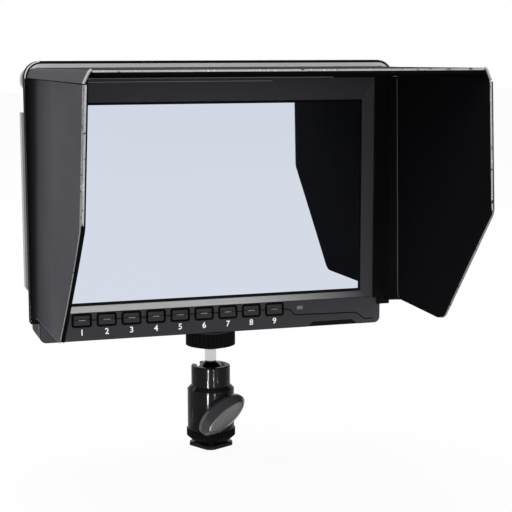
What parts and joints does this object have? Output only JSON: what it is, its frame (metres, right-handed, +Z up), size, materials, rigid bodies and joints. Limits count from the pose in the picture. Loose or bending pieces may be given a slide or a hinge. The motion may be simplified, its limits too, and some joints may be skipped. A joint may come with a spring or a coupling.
{
  "type": "camera field monitor with sun hood",
  "caption": "Slim on-camera video monitor with a bezel of keys under its screen, a folding cloth-covered sun hood and a small ball head that slides into an accessory shoe.",
  "frame": {"origin": "middle of the shoe foot's underside, below the ball head", "axes": "+X to the viewer's right along the screen, +Y away from the viewer, +Z up the ball head"},
  "size_m": [0.1892, 0.1636, 0.2],
  "materials": {
    "foot_black": "gloss black",
    "head_black": "gloss black anodised",
    "stem_steel": "bright machined",
    "cup_brass": "machined",
    "pad_rubber": "matte",
    "knob_black": "satin",
    "screw_steel": "dark zinc",
    "casing_black": "satin",
    "key_black": "satin",
    "window_smoke": "gloss",
    "screen_glass": "glossy",
    "lcd_dark": "matte",
    "tray_metal": "plain",
    "board_green": "solder mask",
    "nut_brass": "machined",
    "contact_gold": "plated",
    "socket_black": "satin",
    "socket_steel": "plated",
    "hood_black": "matte moulded",
    "hood_cloth": "woven nylon",
    "hood_lining": "matte black"
  },
  "bodies": {
    "foot": {"shoe_foot": "foot_black"},
    "lock_ring": {"lock_ring": "head_black"},
    "barrel": {"ball_barrel": "head_black", "pressure_cup": "cup_brass"},
    "clamp": {"clamp_screw": "screw_steel", "wing_knob": "knob_black"},
    "stem": {"ball_stem": "stem_steel"},
    "disc": {"lock_disc": "head_black", "disc_pad": "pad_rubber"},
    "monitor": {"front_bezel": "casing_black", "screen_glass": "screen_glass", "lcd_panel": "lcd_dark", "backlight_tray": "tray_metal", "main_board": "board_green", "key_board": "board_green", "status_window": "window_smoke", "rear_shell": "casing_black", "tripod_nut": "nut_brass", "case_screws": "screw_steel", "battery_plate": "casing_black", "battery_contacts": "contact_gold", "latch_spring": "screw_steel", "plate_screws": "screw_steel", "hdmi_in": "socket_steel", "hdmi_out": "socket_steel", "dc_jack": "socket_black", "audio_jack": "socket_black", "bottom_pads": "pad_rubber", "hood_frame": "hood_black", "left_hinge_cloth": "hood_cloth", "right_hinge_cloth": "hood_cloth", "top_hinge_cloth": "hood_cloth"},
    "left_panel": {"left_board": "hood_cloth", "left_lining": "hood_lining"},
    "right_panel": {"right_board": "hood_cloth", "right_lining": "hood_lining"},
    "top_panel": {"top_board": "hood_cloth", "top_lining": "hood_lining", "left_corner_flap": "hood_cloth", "right_corner_flap": "hood_cloth"},
    "latch": {"battery_latch": "key_black"},
    "button_1": {"button_1": "key_black"},
    "button_2": {"button_2": "key_black"},
    "button_3": {"button_3": "key_black"},
    "button_4": {"button_4": "key_black"},
    "button_5": {"button_5": "key_black"},
    "button_6": {"button_6": "key_black"},
    "button_7": {"button_7": "key_black"},
    "button_8": {"button_8": "key_black"},
    "button_9": {"button_9": "key_black"}
  },
  "joints": [
    {"name": "barrel_pan", "type": "hinge", "parent": "foot", "child": "barrel", "pos_m": [0, 0, 0.0095], "axis": [0, 0, 1], "continuous": true},
    {"name": "lock_ring_turn", "type": "hinge", "parent": "foot", "child": "lock_ring", "pos_m": [0, 0, 0.0039], "axis": [0, 0, 1], "continuous": true},
    {"name": "clamp_turn", "type": "hinge", "parent": "barrel", "child": "clamp", "pos_m": [0, 0, 0.0199], "axis": [0.1097, -0.994, 0], "continuous": true},
    {"name": "ball_tilt", "type": "hinge", "parent": "barrel", "child": "stem", "pos_m": [0, 0, 0.0384], "axis": [-0.788, -0.6157, 0], "range_deg": [-35, 90]},
    {"name": "lock_disc_turn", "type": "hinge", "parent": "stem", "child": "disc", "pos_m": [0, 0, 0.052], "axis": [0, 0, 1], "continuous": true},
    {"name": "monitor_turn", "type": "hinge", "parent": "stem", "child": "monitor", "pos_m": [0, 0, 0.0621], "axis": [0, 0, 1], "continuous": true},
    {"name": "hood_left", "type": "hinge", "parent": "monitor", "child": "left_panel", "pos_m": [-0.0926, -0.0277, 0.0815], "axis": [0.0201, 0, 0.9998], "range_deg": [0, 88.3], "deforming": ["left_hinge_cloth"]},
    {"name": "hood_right", "type": "hinge", "parent": "monitor", "child": "right_panel", "pos_m": [0.0926, -0.0309, 0.0815], "axis": [0.0201, 0, -0.9998], "range_deg": [0, 88.3], "deforming": ["right_hinge_cloth"]},
    {"name": "hood_top", "type": "hinge", "parent": "monitor", "child": "top_panel", "pos_m": [0, -0.0341, 0.1953], "axis": [1, 0, 0], "range_deg": [0, 88.7], "deforming": ["top_hinge_cloth", "left_corner_flap", "right_corner_flap"]},
    {"name": "button_1_press", "type": "slide", "parent": "monitor", "child": "button_1", "axis": [0, 1, 0], "range_m": [0, 0.0006], "stiffness_N_per_m": 1500, "springref_m": -0.0003},
    {"name": "button_2_press", "type": "slide", "parent": "monitor", "child": "button_2", "axis": [0, 1, 0], "range_m": [0, 0.0006], "stiffness_N_per_m": 1500, "springref_m": -0.0003},
    {"name": "button_3_press", "type": "slide", "parent": "monitor", "child": "button_3", "axis": [0, 1, 0], "range_m": [0, 0.0006], "stiffness_N_per_m": 1500, "springref_m": -0.0003},
    {"name": "button_4_press", "type": "slide", "parent": "monitor", "child": "button_4", "axis": [0, 1, 0], "range_m": [0, 0.0006], "stiffness_N_per_m": 1500, "springref_m": -0.0003},
    {"name": "button_5_press", "type": "slide", "parent": "monitor", "child": "button_5", "axis": [0, 1, 0], "range_m": [0, 0.0006], "stiffness_N_per_m": 1500, "springref_m": -0.0003},
    {"name": "button_6_press", "type": "slide", "parent": "monitor", "child": "button_6", "axis": [0, 1, 0], "range_m": [0, 0.0006], "stiffness_N_per_m": 1500, "springref_m": -0.0003},
    {"name": "button_7_press", "type": "slide", "parent": "monitor", "child": "button_7", "axis": [0, 1, 0], "range_m": [0, 0.0006], "stiffness_N_per_m": 1500, "springref_m": -0.0003},
    {"name": "button_8_press", "type": "slide", "parent": "monitor", "child": "button_8", "axis": [0, 1, 0], "range_m": [0, 0.0006], "stiffness_N_per_m": 1500, "springref_m": -0.0003},
    {"name": "button_9_press", "type": "slide", "parent": "monitor", "child": "button_9", "axis": [0, 1, 0], "range_m": [0, 0.0006], "stiffness_N_per_m": 1500, "springref_m": -0.0003},
    {"name": "latch_slide", "type": "slide", "parent": "monitor", "child": "latch", "axis": [0, 0, -1], "range_m": [0, 0.0025], "stiffness_N_per_m": 600, "springref_m": -0.002, "deforming": ["latch_spring"]}
  ]
}
